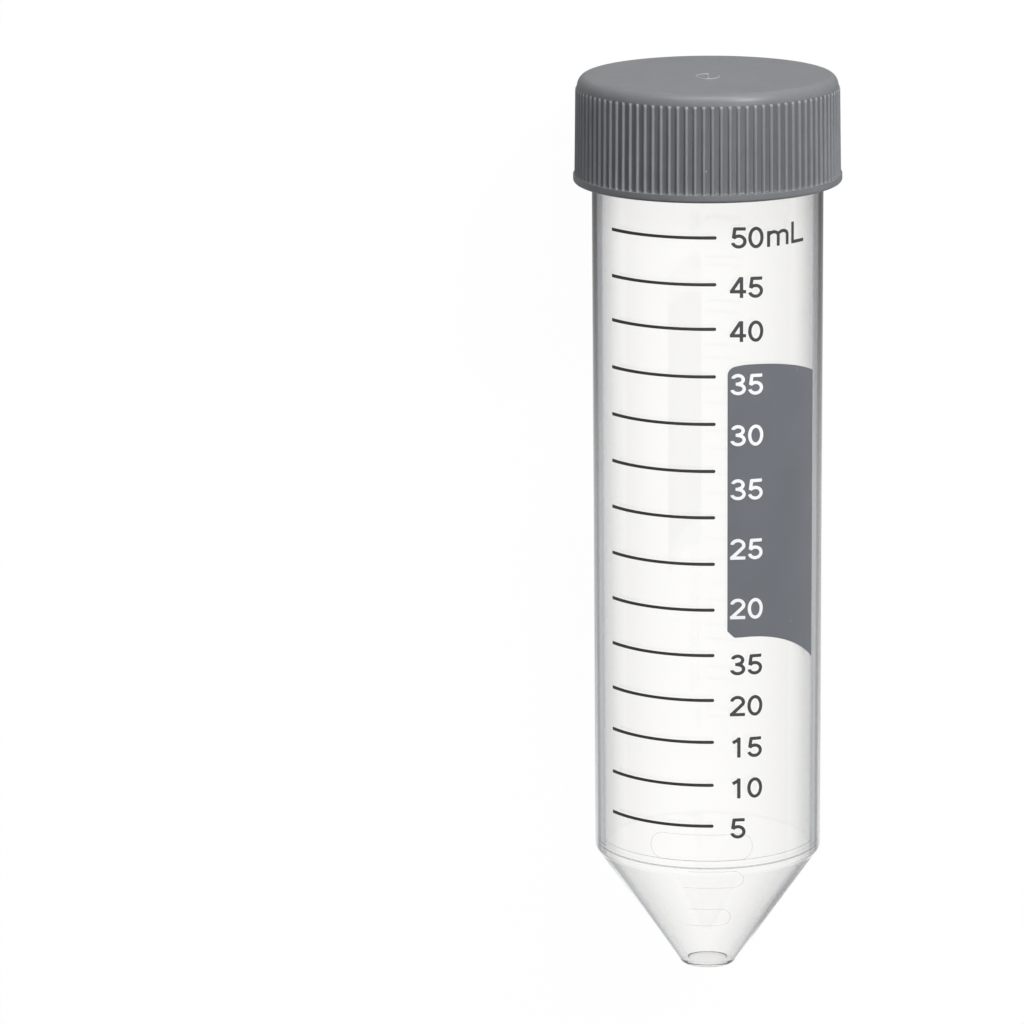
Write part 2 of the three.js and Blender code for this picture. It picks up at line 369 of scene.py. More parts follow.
def tube_wall(material):
    """The clear tube: barrel, cone and neck in one, with the ridge of its thread."""
    across = WALL * math.hypot(1, CONE_SLOPE)    # the cone's wall, measured level
    inner_shoulder = (BORE - TIP_RADIUS + across) / CONE_SLOPE - INNER_SHOULDER_DROP
    # rings for the painted shade below the cap
    cap_shade_heights = [CAP_SHADE_START + CAP_SHADE_RISE * k / CAP_SHADE_STEPS for k in range(CAP_SHADE_STEPS + 1)]
    outside = filleted([
        (0, TIP_LIFT, 0),
        (outer_radius(TIP_LIFT), TIP_LIFT, TIP_ROUNDING),
        (outer_radius(TIP_TOP), TIP_TOP, 0),
        (outer_radius(SWELL_HEIGHT) + TIP_SWELL, SWELL_HEIGHT, 0),
        (BARREL_RADIUS, CONE_HEIGHT, SHOULDER_ROUNDING),
        *((BARREL_RADIUS, height, 0) for height in cap_shade_heights),
        (BARREL_RADIUS, TUBE_THREAD_START - THREAD_ROOT, 0),
    ])
    mouth = filleted([
        (BARREL_RADIUS, RIM_HEIGHT - PLAIN_RIM, 0),
        (BARREL_RADIUS, RIM_HEIGHT, RIM_ROUNDING),
        (BORE, RIM_HEIGHT, RIM_ROUNDING),
        (BORE, inner_shoulder, INNER_SHOULDER_ROUNDING),
        (outer_radius(TIP_FLOOR) - across, TIP_FLOOR, INNER_TIP_ROUNDING),
        (0, TIP_FLOOR, 0),
    ])
    shell = Shell()
    rings = [shell.pole(outside[0][1], ON_TIP)]
    for r, z in outside[1:]:
        tone = ON_TIP if z < TIP_TOP else ON_BARREL if z > CONE_HEIGHT else ON_CONE
        rings.append(shell.ring(r, z, tone))
    for z in thread_levels(TUBE_THREAD_START):
        ridge = thread_height(z, TUBE_THREAD_START, 0)
        rings.append(shell.ring(BARREL_RADIUS + ridge, z, ON_BARREL))
    rings += [shell.ring(r, z) for r, z in mouth[:-1]]
    rings.append(shell.pole(mouth[-1][1]))
    shell.through(rings)
    piece = place("tube_wall", shell.points, shell.faces, material, "tube", "clear_plastic")
    carry(piece, "edge_tone", shell.tone)
    # the grey base of the tip and the painted shade below the cap
    carry(piece, "greying_and_shade", [greying_and_shade(x, y, z) for x, y, z in shell.points])
    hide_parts("tube")
    return piece


# ------------ cap

# Where the cap has rings: radii on its top and its ceiling, shares of the ribs' rounded ends and
# heights on its skirt
CAP_TOP_RINGS = (1, 4, 8, 12)
CAP_TOP_MARGIN = 0.6          # from the last ring to the rounded edge
CEILING_RING = 5
RIB_END_RINGS = (1, 0.985, 0.94, 0.86, 0.74, 0.58, 0.38, 0.18, 0)
SKIRT_RINGS = (8, 5, 2.6, 1.7)

# Where a rib has points, as shares of its half width from its middle
RIB_POINTS = (0, 0.3, 0.58, 0.82, 1.0)

PLAIN_TONE = 0.5              # a point's tone where the cap has no ribs


def rib_offsets():
    """Where one pitch is divided, as shares of it from the middle of the rib: close on the rib's
    sides and wide in the valley."""
    near = np.array(RIB_POINTS) * RIB_HALF_WIDTH / RIB_PITCH
    return np.concatenate([[-0.5], -near[:0:-1], near])


def ribbed_ring(shell, valley, reach, height, end_highlight=0.0):
    """A ring whose radius rises to a rounded crest at each rib. Its tone runs from 0 in a valley,
    which gets painted shade, to 1 on a crest, which gets a painted highlight, and is higher
    where a painted highlight lies on the crests' upper ends."""
    offsets = rib_offsets()
    profile = np.clip(1 - (offsets * RIB_PITCH / RIB_HALF_WIDTH) ** 2, 0, 1)
    turn = 2 * math.pi / RIB_COUNT
    angle = np.concatenate([(k + offsets) * turn for k in range(RIB_COUNT)])
    angle += math.radians(RIB_PHASE - 90) % turn
    radius = valley + reach * np.tile(profile, RIB_COUNT)
    contrast = min(1.0, reach / RIB_REACH_HIGH)
    crest_highlight = smooth(RIB_HIGHLIGHT_SPREAD * np.tile(profile, RIB_COUNT))
    shell.tone += list(PLAIN_TONE + (crest_highlight - PLAIN_TONE) * contrast + end_highlight * crest_highlight)
    first = len(shell.points)
    shell.points += [(r * math.cos(a), r * math.sin(a), height) for r, a in zip(radius, angle)]
    return list(range(first, first + len(angle)))


def rib_reach(height):
    """How far the ribs stand out of the valleys at a height above the cap's mouth."""
    up = (height - FLANGE_HEIGHT) / (RIB_TOP - FLANGE_HEIGHT)
    reach = RIB_REACH_LOW + (RIB_REACH_HIGH - RIB_REACH_LOW) * up
    past = np.clip((height - (RIB_TOP - RIB_ROUNDED_END)) / RIB_ROUNDED_END, 0, 1)
    return float(reach * math.sqrt(1 - past ** 2))


def cap_thread_angle():
    """The cap's ridge runs midway between the turns of the tube's."""
    climbed = CAP_BASE + CAP_THREAD_LOW - (TUBE_THREAD_START - THREAD_LEAD / 2)
    return climbed / THREAD_LEAD * 2 * math.pi


def cap_outside(shell):
    """The cap's rings from the middle of its top, over the edge and down the skirt to its mouth."""
    top = CAP_BASE + CAP_HEIGHT
    flat = CAP_VALLEY - CAP_TOP_ROUNDING
    radii = (*CAP_TOP_RINGS, flat - CAP_TOP_MARGIN)
    rings = [shell.pole(top, PLAIN_TONE)]
    rings += [shell.ring(radius, top, PLAIN_TONE) for radius in radii]
    for sine, cosine in quarter(10):
        radius = flat + CAP_TOP_ROUNDING * sine
        rings.append(ribbed_ring(shell, radius, 0, top - CAP_TOP_DROP * (1 - cosine)))
    ends = RIB_TOP - RIB_ROUNDED_END * (1 - np.array(RIB_END_RINGS))
    for z in [*ends, *SKIRT_RINGS, FLANGE_HEIGHT + FLANGE_LIP]:
        # the painted highlight on the ribs is brightest a little above the middle of their rounded
        # ends
        past = np.clip(1 - (RIB_TOP - z) / RIB_ROUNDED_END, 0, 1)
        end_highlight = RIB_END_HIGHLIGHT * math.sin(math.pi * past ** 1.5)
        rings.append(ribbed_ring(shell, CAP_VALLEY, rib_reach(z), CAP_BASE + z, end_highlight))
    for sine, cosine in quarter(4, first=1):
        valley = FLANGE_RADIUS - (FLANGE_RADIUS - CAP_VALLEY) * cosine
        z = FLANGE_HEIGHT + FLANGE_LIP * (1 - sine) ** 1.5
        reach = max(0.0, rib_reach(z) + CAP_VALLEY - valley)
        rings.append(ribbed_ring(shell, valley, reach, CAP_BASE + z))
    for sine, cosine in quarter(5):
        radius = FLANGE_RADIUS - FLANGE_ROUNDING * (1 - cosine)
        rings.append(ribbed_ring(shell, radius, 0, CAP_BASE + FLANGE_ROUNDING * (1 - sine)))
    return rings


def cap_inside(shell):
    """The cap's rings from its mouth, up the bore with its thread to the middle of the ceiling."""
    ceiling = CAP_BASE + CAP_CEILING
    rings = []
    for sine, cosine in quarter(3):
        radius = CAP_BORE + MOUTH_ROUNDING * (1 - sine)
        rings.append(shell.ring(radius, CAP_BASE + MOUTH_ROUNDING * (1 - cosine)))
    start = CAP_BASE + CAP_THREAD_LOW
    for z in thread_levels(start):
        ridge = thread_height(z, start, cap_thread_angle())
        rings.append(shell.ring(CAP_BORE - ridge, z))
    for sine, cosine in quarter(3):
        radius = CAP_BORE - CEILING_ROUNDING * (1 - cosine)
        rings.append(shell.ring(radius, ceiling - CEILING_ROUNDING * (1 - sine)))
    return [*rings, shell.ring(CEILING_RING, ceiling), shell.pole(ceiling)]


def cap_shell(material):
    """The screw cap: top, ribbed skirt, flange, and the bore with its thread."""
    shell = Shell()
    shell.through(cap_outside(shell) + cap_inside(shell))
    piece = place("cap_shell", shell.points, shell.faces, material, "cap", "cap_plastic", crease=50)
    # the ribs' painted shade and painted highlight, for the material
    carry(piece, "rib_light_and_shade", shell.tone)
    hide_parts("cap")


def cord_along(path, radius, closed=True, on_top=False):
    """A thin round line through the points of a path, as points and faces. It lies on the cap's
    top, or else on a wall."""
    points, faces = [], []
    count = len(path)
    sides = range(CORD_SIDES)
    for i, here in enumerate(path):
        before = path[i - 1] if closed or i else here
        after = path[(i + 1) % count] if closed or i < count - 1 else here
        along = (after - before).normalized()
        outward = Vector((0, 0, 1)) if on_top else Vector((here.x, here.y, 0)).normalized()
        aside = along.cross(outward).normalized()
        outward = aside.cross(along)
        for k in sides:
            turn = 2 * math.pi * k / CORD_SIDES
            points.append(here + (aside * math.cos(turn) + outward * math.sin(turn)) * radius)
    for i in range(count if closed else count - 1):
        a, b = i * CORD_SIDES, (i + 1) % count * CORD_SIDES
        pairs = [(k, (k + 1) % CORD_SIDES) for k in sides]
        faces += [(a + k, a + beside, b + beside, b + k) for k, beside in pairs]
    if not closed:
        faces += [tuple(sides), tuple(range(len(points) - CORD_SIDES, len(points)))]
    return points, faces


def gate_mark(material):
    """The raised oval and the short bar that the moulding gate leaves on the top."""
    level = CAP_BASE + CAP_HEIGHT - GATE_SUNK * GATE_LINE
    wide, long = GATE_OVAL
    opened, closed = GATE_OPENING
    turns = np.radians(np.linspace(closed, opened + 360, GATE_POINTS))
    oval = [Vector((wide * math.cos(t), long * math.sin(t) - GATE_SHIFT, level)) for t in turns]
    ends = (-GATE_BAR_HALF, 0, GATE_BAR_HALF)
    bar = [Vector((GATE_BAR_ASIDE, y - GATE_SHIFT, level)) for y in ends]
    for name, path, line in (("gate_oval", oval, GATE_LINE), ("gate_bar", bar, GATE_BAR_LINE)):
        drawn = cord_along(path, line, closed=False, on_top=True)
        place(name, *drawn, material, "cap", None)


def bar_outline(left, right, bottom, top, closed):
    """A bar with round ends, as (arc, height) points. If it isn't closed, its left end is open."""
    rounding, middle = (top - bottom) / 2, (bottom + top) / 2
    path = []
    for centre, start in ((right - rounding, -90), (left + rounding, 90))[:1 + closed]:
        for turn in np.radians(np.linspace(start, start + 180, BAR_END_POINTS)):
            path.append((centre + rounding * math.cos(turn), middle + rounding * math.sin(turn)))
    return path if closed else [(left + rounding, bottom), *path, (left + rounding, top)]


def laid_on_wall(path, closed):
    """A path of (arc, height) points laid on the tube's outer wall in short steps."""
    laid = []
    for (arc, height), (next_arc, next_height) in zip(path, path[1:] + path[:1] * closed):
        steps = max(1, int(abs(next_arc - arc) / MOULD_LINE_STEP))
        for k in range(steps):
            level = height + (next_height - height) * k / steps
            radius = outer_radius(level)
            laid.append(from_front(radius, (arc + (next_arc - arc) * k / steps) / radius, level))
    return laid


def mould_lines(material, faint_material):
    """Faint lines round the front of the shoulder, and fainter bars below the scale. The lower
    bars are open on the left."""
    turns = np.radians(np.linspace(-MOULD_RING_REACH, MOULD_RING_REACH, MOULD_RING_POINTS))
    for number, (radius, height, thick) in enumerate(MOULD_RINGS, 1):
        ring = [from_front(radius, turn, height) for turn in turns]
        drawn = cord_along(ring, thick, closed=False)
        place(f"mould_ring_{number}", *drawn, material, "tube", None)
    for number, bar in enumerate(MOULD_BARS, 1):
        closed = number == 1
        path = laid_on_wall(bar_outline(*bar, closed), closed)
        drawn = cord_along(path, MOULD_LINE, closed=closed)
        place(f"mould_bar_{number}", *drawn, faint_material, "tube", None)


def seal_disc(material):
    """The sealing disc under the cap's top."""
    low = RIM_HEIGHT + SEAL_CLEARANCE
    profile = filleted([
        (0, low, 0),
        (SEAL_RADIUS, low, SEAL_ROUNDING),
        (SEAL_RADIUS, low + SEAL_THICKNESS, SEAL_ROUNDING),
        (0, low + SEAL_THICKNESS, 0),
    ], steps=3)
    shell = Shell()
    rings = [shell.pole(profile[0][1])]
    rings += [shell.ring(r, z) for r, z in profile[1:-1]]
    rings.append(shell.pole(profile[-1][1]))
    shell.through(rings)
    piece = place("seal_disc", shell.points, shell.faces, material, "seal", "seal_foam")
    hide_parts("seal_liner")


# ------------ print


def ink_film(name, points, faces, material, slot, lift=0.0):
    """A flat drawing of (arc, height) points, wrapped round the barrel as a thin solid."""
    low = BARREL_RADIUS + INK_GAP + lift
    solid = []
    for radius in (low, low + INK_THICKNESS):
        solid += [from_front(radius, arc / BARREL_RADIUS, height) for arc, height in points]
    n = len(points)
    edges = [edge for face in faces for edge in zip(face, (*face[1:], face[0]))]
    known = set(edges)
    skin = [tuple(reversed(f)) for f in faces]
    skin += [tuple(i + n for i in f) for f in faces]
    skin += [(a, b, b + n, a + n) for a, b in edges if (b, a) not in known]
    return place(name, solid, skin, material, "tube", slot, crease=30)


def strip(columns, low, high):
    """A drawing made of columns, each from low(arc) up to high(arc)."""
    points, faces = [], []
    for i, arc in enumerate(columns):
        points += [(arc, low(arc)), (arc, high(arc))]
        if i:
            faces.append((2 * i - 2, 2 * i, 2 * i + 1, 2 * i - 1))
    return points, faces


def scale_line(number, height, material):
    """One printed line, cut square on the left and rounded on the right."""
    half = MARK_WIDTH / 2
    lean = MARK_LEAN * (height - MARK_HEIGHTS[0])
    left, right = MARK_LEFT + lean, MARK_RIGHT + lean

    def reach(arc):
        thinner = 1 - MARK_THINNING * math.sin(math.pi * (arc - left) / (right - left))
        into_end = max(0.0, (arc - (right - half)) / half)
        return half * thinner * math.sqrt(max(1 - into_end ** 2, 0.0)) + MARK_END_HALF

    into_round = np.sin(np.linspace(0.15, 1, MARK_END_COLUMNS) * math.pi / 2)
    columns = [*np.linspace(left, right - half, MARK_COLUMNS), *(right - half + half * into_round)]
    points, faces = strip(columns, lambda a: height - reach(a), lambda a: height + reach(a))
    piece = ink_film(f"scale_line_{number:02d}", points, faces, material, "mark_ink")
    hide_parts(f"scale_mark_{number:02d}")


def droop(arc, rate):
    """How far the patch's top or bottom edge has fallen at an arc."""
    return rate * max(0.0, arc - PRINT_CREST) ** 2


def patch_print(material):
    """The writing patch: a rounded corner above on the left, a bevelled one below, and drooping
    edges towards the right."""

    def top(arc):
        into = max(0.0, PATCH_CORNER - (arc - PATCH_LEFT)) / PATCH_CORNER
        rounding = PATCH_CORNER * (1 - math.sqrt(1 - into ** 2))
        risen = float(smooth((arc - PATCH_LEFT) / PATCH_LEFT_RISE))
        fall = PATCH_LEFT_FALL * (1 - risen)
        return PATCH_TOP - rounding - fall - droop(arc, PATCH_TOP_DROOP)

    def bottom(arc):
        bevel = max(0.0, PATCH_BEVEL - (arc - PATCH_LEFT))
        return PATCH_BOTTOM + bevel - droop(arc, PATCH_BOTTOM_DROOP)

    into_corner = 1 - np.cos(np.linspace(0, math.pi / 2, PATCH_CORNER_COLUMNS))
    straight = np.linspace(PATCH_LEFT + PATCH_CORNER, PATCH_RIGHT, PATCH_COLUMNS)
    columns = [*(PATCH_LEFT + PATCH_CORNER * into_corner), *straight[1:]]
    points, faces = strip(columns, bottom, top)
    piece = ink_film("patch_print", points, faces, material, "patch_ink")
    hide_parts("writing_patch")


# ------------ numerals

# In shares of a numeral's height
DARK_STROKE = 0.158
WHITE_STROKE = 0.157
SIGN_LEFT = -0.1              # the grid that a sign is drawn on: its left, bottom and height
SIGN_LOW = -0.04
SIGN_TALL = 1.12
SIGN_STEP = {"m": 1.51, "L": 0.9}
DIGIT_STEP = 0.848
SIGN_STRETCH = 1.055          # how much wider the signs are printed
LEAST_DEPTH = 1e-4            # keeps the outline off the grid's own points

# Strokes of each sign, in the same shares. A bar runs between two points. An arc is part of an
# ellipse: its middle, its half width and half height, and two angles counted anticlockwise.
SIGNS = {
    "0": [("arc", 0.35, 0.5, 0.292, 0.432, 0, 360)],
    "1": [("bar", 0.378, 0, 0.378, 1), ("bar", 0.09, 0.735, 0.41, 0.925)],
    "2": [
        ("arc", 0.315, 0.70, 0.272, 0.232, -34, 172),
        ("bar", 0.545, 0.58, 0.055, 0.11),
        ("bar", -0.045, 0.078, 0.665, 0.078),
    ],
    "3": [
        ("arc", 0.31, 0.735, 0.24, 0.198, -90, 165),
        ("arc", 0.315, 0.285, 0.282, 0.217, -168, 90),
        ("bar", 0.2, 0.52, 0.33, 0.52),
    ],
    "4": [
        ("bar", 0.468, 0, 0.468, 1),
        ("bar", -0.065, 0.3, 0.68, 0.3),
        ("bar", 0.0, 0.3, 0.43, 0.96),
    ],
    "5": [
        ("bar", 0.13, 0.923, 0.66, 0.923),
        ("bar", 0.165, 0.98, 0.095, 0.47),
        ("arc", 0.335, 0.325, 0.288, 0.257, -165, 148),
    ],
    "m": [
        ("bar", 0.18, 0, 0.18, 0.76),
        ("arc", 0.44, 0.5, 0.26, 0.19, 0, 155),
        ("bar", 0.70, 0, 0.70, 0.5),
        ("arc", 0.961, 0.5, 0.26, 0.19, 0, 155),
        ("bar", 1.222, 0, 1.222, 0.5),
    ],
    "L": [("bar", 0.128, 0, 0.128, 1.04), ("bar", 0.05, 0.078, 0.885, 0.078)],
}


def stroke_depth(stroke, x, y, width):
    """How far a point lies inside a stroke, negative outside."""
    kind, *size = stroke
    half_width = width / 2
    if kind == "bar":
        x0, y0, x1, y1 = size
        length = math.hypot(x1 - x0, y1 - y0)
        along = ((x - x0) * (x1 - x0) + (y - y0) * (y1 - y0)) / length
        aside = ((x - x0) * (y1 - y0) - (y - y0) * (x1 - x0)) / length
        return np.minimum(half_width - np.abs(aside), np.minimum(along, length - along))
    cx, cy, rx, ry, start, end = size
    u, v = (x - cx) / rx, (y - cy) / ry
    around = np.hypot(u, v) + 1e-9
    distance = np.hypot(x - cx, y - cy)
    # the slope of the ellipse's own equation turns it into a distance
    steep = np.hypot(u / rx, v / ry) / around
    band = half_width - np.abs(around - 1) / np.maximum(steep, 1e-9)
    if end - start >= 360:
        return band
    angle = np.arctan2(v, u)
    middle, half = math.radians((start + end) / 2), math.radians((end - start) / 2)
    off = np.abs((angle - middle + math.pi) % (2 * math.pi) - math.pi)
    past = half - off
    cut = np.where(np.abs(past) < math.pi / 2, distance * np.sin(past), np.sign(past) * distance)
    return np.minimum(band, cut)


def sign_drawing(sign, height, stroke):
    """A numeral's filled outline as small faces, from the depth of its strokes on a grid."""
    columns = int((SIGN_STEP.get(sign, DIGIT_STEP) - SIGN_LEFT) * height / GLYPH_CELL) + 2
    rows = int(SIGN_TALL * height / GLYPH_CELL) + 2
    x = SIGN_LEFT + np.arange(columns) * GLYPH_CELL / height
    y = SIGN_LOW + np.arange(rows) * GLYPH_CELL / height
    gx, gy = np.meshgrid(x, y, indexing="ij")
    depth = np.max([stroke_depth(s, gx, gy, stroke) for s in SIGNS[sign]], axis=0)
    depth = np.where(np.abs(depth) < LEAST_DEPTH, LEAST_DEPTH, depth)
    points, index, faces = [], {}, []

    def point(a, b):
        """The point at a corner, or where the side from corner a to corner b meets the outline."""
        key = (min(a, b), max(a, b))
        if key not in index:
            (ia, ja), (ib, jb) = key
            t = 0 if a == b else depth[ia, ja] / (depth[ia, ja] - depth[ib, jb])
            index[key] = len(points)
            points.append((
                (x[ia] + (x[ib] - x[ia]) * t) * height,
                (y[ja] + (y[jb] - y[ja]) * t) * height,
            ))
        return index[key]

    for i in range(columns - 1):
        for j in range(rows - 1):
            cell = [(i, j), (i + 1, j), (i + 1, j + 1), (i, j + 1)]
            face = []
            for a, b in zip(cell, cell[1:] + cell[:1]):
                if depth[a] > 0:
                    face.append(point(a, a))
                if (depth[a] > 0) != (depth[b] > 0):
                    face.append(point(a, b))
            if len(face) > 2:
                faces.append(tuple(face))
    return points, faces


def numeral(number, text, base, on_patch, material):
    """One printed number, falling a little to the right."""
    points, faces, pen = [], [], LABEL_LEFT
    stroke = WHITE_STROKE if on_patch else DARK_STROKE
    for sign in text:
        drawn, cells = sign_drawing(sign, LABEL_HEIGHT, stroke)
        first = len(points)
        for px, py in drawn:
            arc = pen + px * SIGN_STRETCH
            fall = min(LABEL_TILT * (arc - LABEL_LEFT), LABEL_FALL)
            points.append((arc, base + py - fall))
        faces += [tuple(i + first for i in f) for f in cells]
        pen += SIGN_STEP.get(sign, DIGIT_STEP) * LABEL_HEIGHT
    lift = INK_THICKNESS + INK_GAP if on_patch else 0.0
    slot = None if on_patch else "mark_ink"
    ink_film(f"numeral_{number:02d}", points, faces, material, slot, lift)


# ------------ materials


def srgb(*values):
    """A colour as Blender wants it, from the usual 0 to 255 values."""
    linear = [(v / 255 / 12.92) if v <= 10 else ((v / 255 + 0.055) / 1.055) ** 2.4 for v in values]
    return (*linear, 1.0)


class Nodes:
    """A node tree under construction."""

    def __init__(self, tree):
        self.tree = tree

    def node(self, kind, **values):
        """A new node. Each value is set on its input of that name, or else on the node itself."""
        made = self.tree.nodes.new(kind)
        for name, value in values.items():
            label = name.replace("_", " ")
            if label in made.inputs:
                made.inputs[label].default_value = value
            else:
                setattr(made, name, value)
        return made

    def link(self, term, socket):
        """Puts a value or another node's output into an input."""
        if isinstance(term, bpy.types.NodeSocket):
            self.tree.links.new(term, socket)
        else:
            socket.default_value = term

    def math(self, operation, *terms, **values):
        """The output of a Math node. Each term is a number or another node's output."""
        made = self.node("ShaderNodeMath", operation=operation, **values)
        for term, socket in zip(terms, made.inputs):
            self.link(term, socket)
        return made.outputs[0]

    def mixed(self, share, first, second, **values):
        """An output between two colours, each a colour or another node's output."""
        made = self.node("ShaderNodeMix", data_type="RGBA", **values)
        for label, term in (("Factor", share), ("A", first), ("B", second)):
            self.link(term, made.inputs[label])
        return made.outputs["Result"]

    def surface(self, share, first, second, output):
        """Puts a mixture of two shaders into the output node of that name."""
        made = self.node("ShaderNodeMixShader")
        for term, socket in zip((share, first, second), made.inputs):
            self.link(term, socket)
        self.link(made.outputs[0], self.tree.nodes[output].inputs["Surface"])

    def mapped(self, value, start, end, low=0.0, high=1.0, clamp=True):
        """An output that runs from low to high while a value runs from start to end."""
        made = self.node(
            "ShaderNodeMapRange", From_Min=start, From_Max=end, To_Min=low, To_Max=high, clamp=clamp,
        )
        self.link(value, made.inputs["Value"])
        return made.outputs["Result"]

    def carried(self, name):
        """The value that carry() stored on each point."""
        return self.node("ShaderNodeAttribute", attribute_name=name).outputs["Fac"]


class Recipe(Nodes):
    """A material under construction: its nodes, and its Principled shader."""

    def __init__(self, name, **values):
        self.material = bpy.data.materials.new(name)
        self.material.use_nodes = True
        super().__init__(self.material.node_tree)
        self.shader = self.tree.nodes["Principled BSDF"]
        for label, value in values.items():
            self.link(value, self.shader.inputs[label.replace("_", " ")])


class Effect(Nodes):
    """A shader group under construction, with float inputs {name: default} and outputs."""

    def __init__(self, name, inputs, outputs):
        super().__init__(bpy.data.node_groups.new(name, "ShaderNodeTree"))
        for label, default in inputs.items():
            self.socket(label, "INPUT").default_value = default
        for label in outputs:
            self.socket(label, "OUTPUT")
        self.given = self.node("NodeGroupInput").outputs
        self.result = self.node("NodeGroupOutput").inputs

    def socket(self, label, side):
        return self.tree.interface.new_socket(label, in_out=side, socket_type="NodeSocketFloat")

    def pattern(self, kind, size, **values):
        """A texture node on the object, with a pattern of the size in millimetres."""
        made = self.node(kind, **values)
        where = self.node("ShaderNodeTexCoord")
        self.link(where.outputs["Object"], made.inputs["Vector"])
        self.link(self.math("DIVIDE", 1 / MM, size), made.inputs["Scale"])
        return made


def moulded_grain():
    """Fine moulded grain: a height for bump, and a slow mottling of tone."""
    effect = Effect("moulded_grain", {"Grain Size": 1.0, "Mottle Size": 1.0}, ["Height", "Mottle"])
    for label, output, detail in (("Grain Size", "Height", 3), ("Mottle Size", "Mottle", 2)):
        noise = effect.pattern("ShaderNodeTexNoise", effect.given[label], Detail=detail)
        effect.link(noise.outputs["Fac"], effect.result[output])
    return effect.tree


def dust_specks():
    """Sparse pale specks of dust, as a mask."""
    effect = Effect("dust_specks", {"Spacing": 3.0, "Speck Size": 0.03}, ["Mask"])
    cells = effect.pattern("ShaderNodeTexVoronoi", effect.given["Spacing"])
    mask = effect.math("LESS_THAN", cells.outputs["Distance"], effect.given["Speck Size"])
    effect.link(mask, effect.result["Mask"])
    return effect.tree


def grained(recipe, grain, dark, light, grain_size, mottle_size, depth):
    """Base colour mottled between two tones, and a fine bump. Returns the colour's output."""
    group = recipe.node(
        "ShaderNodeGroup", node_tree=grain, Grain_Size=grain_size, Mottle_Size=mottle_size,
    )
    bump = recipe.node("ShaderNodeBump", Strength=1.0, Distance=depth * MM)
    recipe.link(group.outputs["Height"], bump.inputs["Height"])
    recipe.link(bump.outputs["Normal"], recipe.shader.inputs["Normal"])
    return recipe.mixed(group.outputs["Mottle"], dark, light)


def dusted(recipe, specks, colour, spacing, size, dust_colour):
    """The colour with specks of dust laid over it, into Base Color."""
    group = recipe.node("ShaderNodeGroup", node_tree=specks, Spacing=spacing, Speck_Size=size)
    over = recipe.mixed(group.outputs["Mask"], colour, dust_colour)
    recipe.link(over, recipe.shader.inputs["Base Color"])


# (place, colour) steps of the painted shade and reflection on the clear wall, from seen square on
# (0) to seen edge on (1)
CONE_EDGE_SHADE = (
    (0.0, (0.98, 0.975, 0.965)), (0.2, (0.96, 0.955, 0.945)), (0.39, (0.9, 0.895, 0.885)),
    (0.43, (0.79, 0.785, 0.78)), (0.5, (0.66, 0.66, 0.655)), (0.58, (0.5, 0.5, 0.5)),
    (0.62, (0.45, 0.453, 0.457)), (0.66, (0.37, 0.375, 0.382)), (0.7, (0.24, 0.246, 0.257)),
    (0.74, (0.12, 0.125, 0.135)), (0.772, (0.07, 0.075, 0.085)), (0.8, (0.16, 0.168, 0.18)),
    (0.83, (0.6, 0.62, 0.645)), (0.865, (0.98, 0.99, 1.0)),
)
BARREL_EDGE_SHADE = (
    (0.0, (0.98, 0.975, 0.965)), (0.15, (0.93, 0.925, 0.915)), (0.25, (0.86, 0.855, 0.845)),
    (0.313, (0.82, 0.815, 0.805)), (0.363, (0.75, 0.747, 0.74)), (0.42, (0.645, 0.645, 0.64)),
    (0.487, (0.49, 0.49, 0.493)), (0.552, (0.39, 0.393, 0.4)), (0.585, (0.34, 0.346, 0.358)),
    (0.615, (0.17, 0.178, 0.193)), (0.66, (0.16, 0.168, 0.183)), (0.69, (0.18, 0.188, 0.205)),
    (0.71, (0.07, 0.075, 0.085)), (0.75, (0.015, 0.018, 0.023)), (0.78, (0.05, 0.055, 0.066)),
    (0.82, (0.3, 0.318, 0.35)), (0.9, (0.46, 0.48, 0.51)),
)
NO_TINT = (0.995, 0.995, 0.99, 1)
# greys the base of the tip and paints the shade below the cap
GREYING_AND_SHADE_COLOUR = (0.62, 0.615, 0.61, 1)
SHADOW_LET_THROUGH = 0.93


def edge_shade_ramp(recipe, steps, away):
    """The painted edge shade that the steps give for how far the wall is turned away."""
    ramp = recipe.node("ShaderNodeValToRGB")
    elements = ramp.color_ramp.elements
    elements.remove(elements[1])
    elements[0].position, elements[0].color = steps[0][0], (*steps[0][1], 1)
    for position, colour in steps[1:]:
        elements.new(position).color = (*colour, 1)
    recipe.link(away, ramp.inputs["Fac"])
    return ramp.outputs["Color"]


# The least part of a view's direction that counts as lying across the tube
LEAST_ACROSS = 0.94


def turned_away(recipe):
    """How far the wall is turned away from the view, from 0 to 1. From near the tube's ends all of
    its wall is turned away, so there it is reckoned from the part of the view across the tube."""
    surface = recipe.node("ShaderNodeNewGeometry")
    across = recipe.node("ShaderNodeVectorMath", operation="CROSS_PRODUCT")
    length = recipe.node("ShaderNodeVectorMath", operation="LENGTH")
    recipe.link(surface.outputs["Incoming"], across.inputs[0])
    recipe.link(AXIS, across.inputs[1])
    recipe.link(across.outputs["Vector"], length.inputs[0])
    gain = recipe.math("DIVIDE", LEAST_ACROSS, length.outputs["Value"])
    edge = recipe.node("ShaderNodeLayerWeight", Blend=0.5)
    square_on = recipe.math("SUBTRACT", 1.0, edge.outputs["Facing"])
    square_on = recipe.math("MULTIPLY", square_on, recipe.math("MAXIMUM", gain, 1.0))
    return recipe.math("SUBTRACT", 1.0, square_on, use_clamp=True)


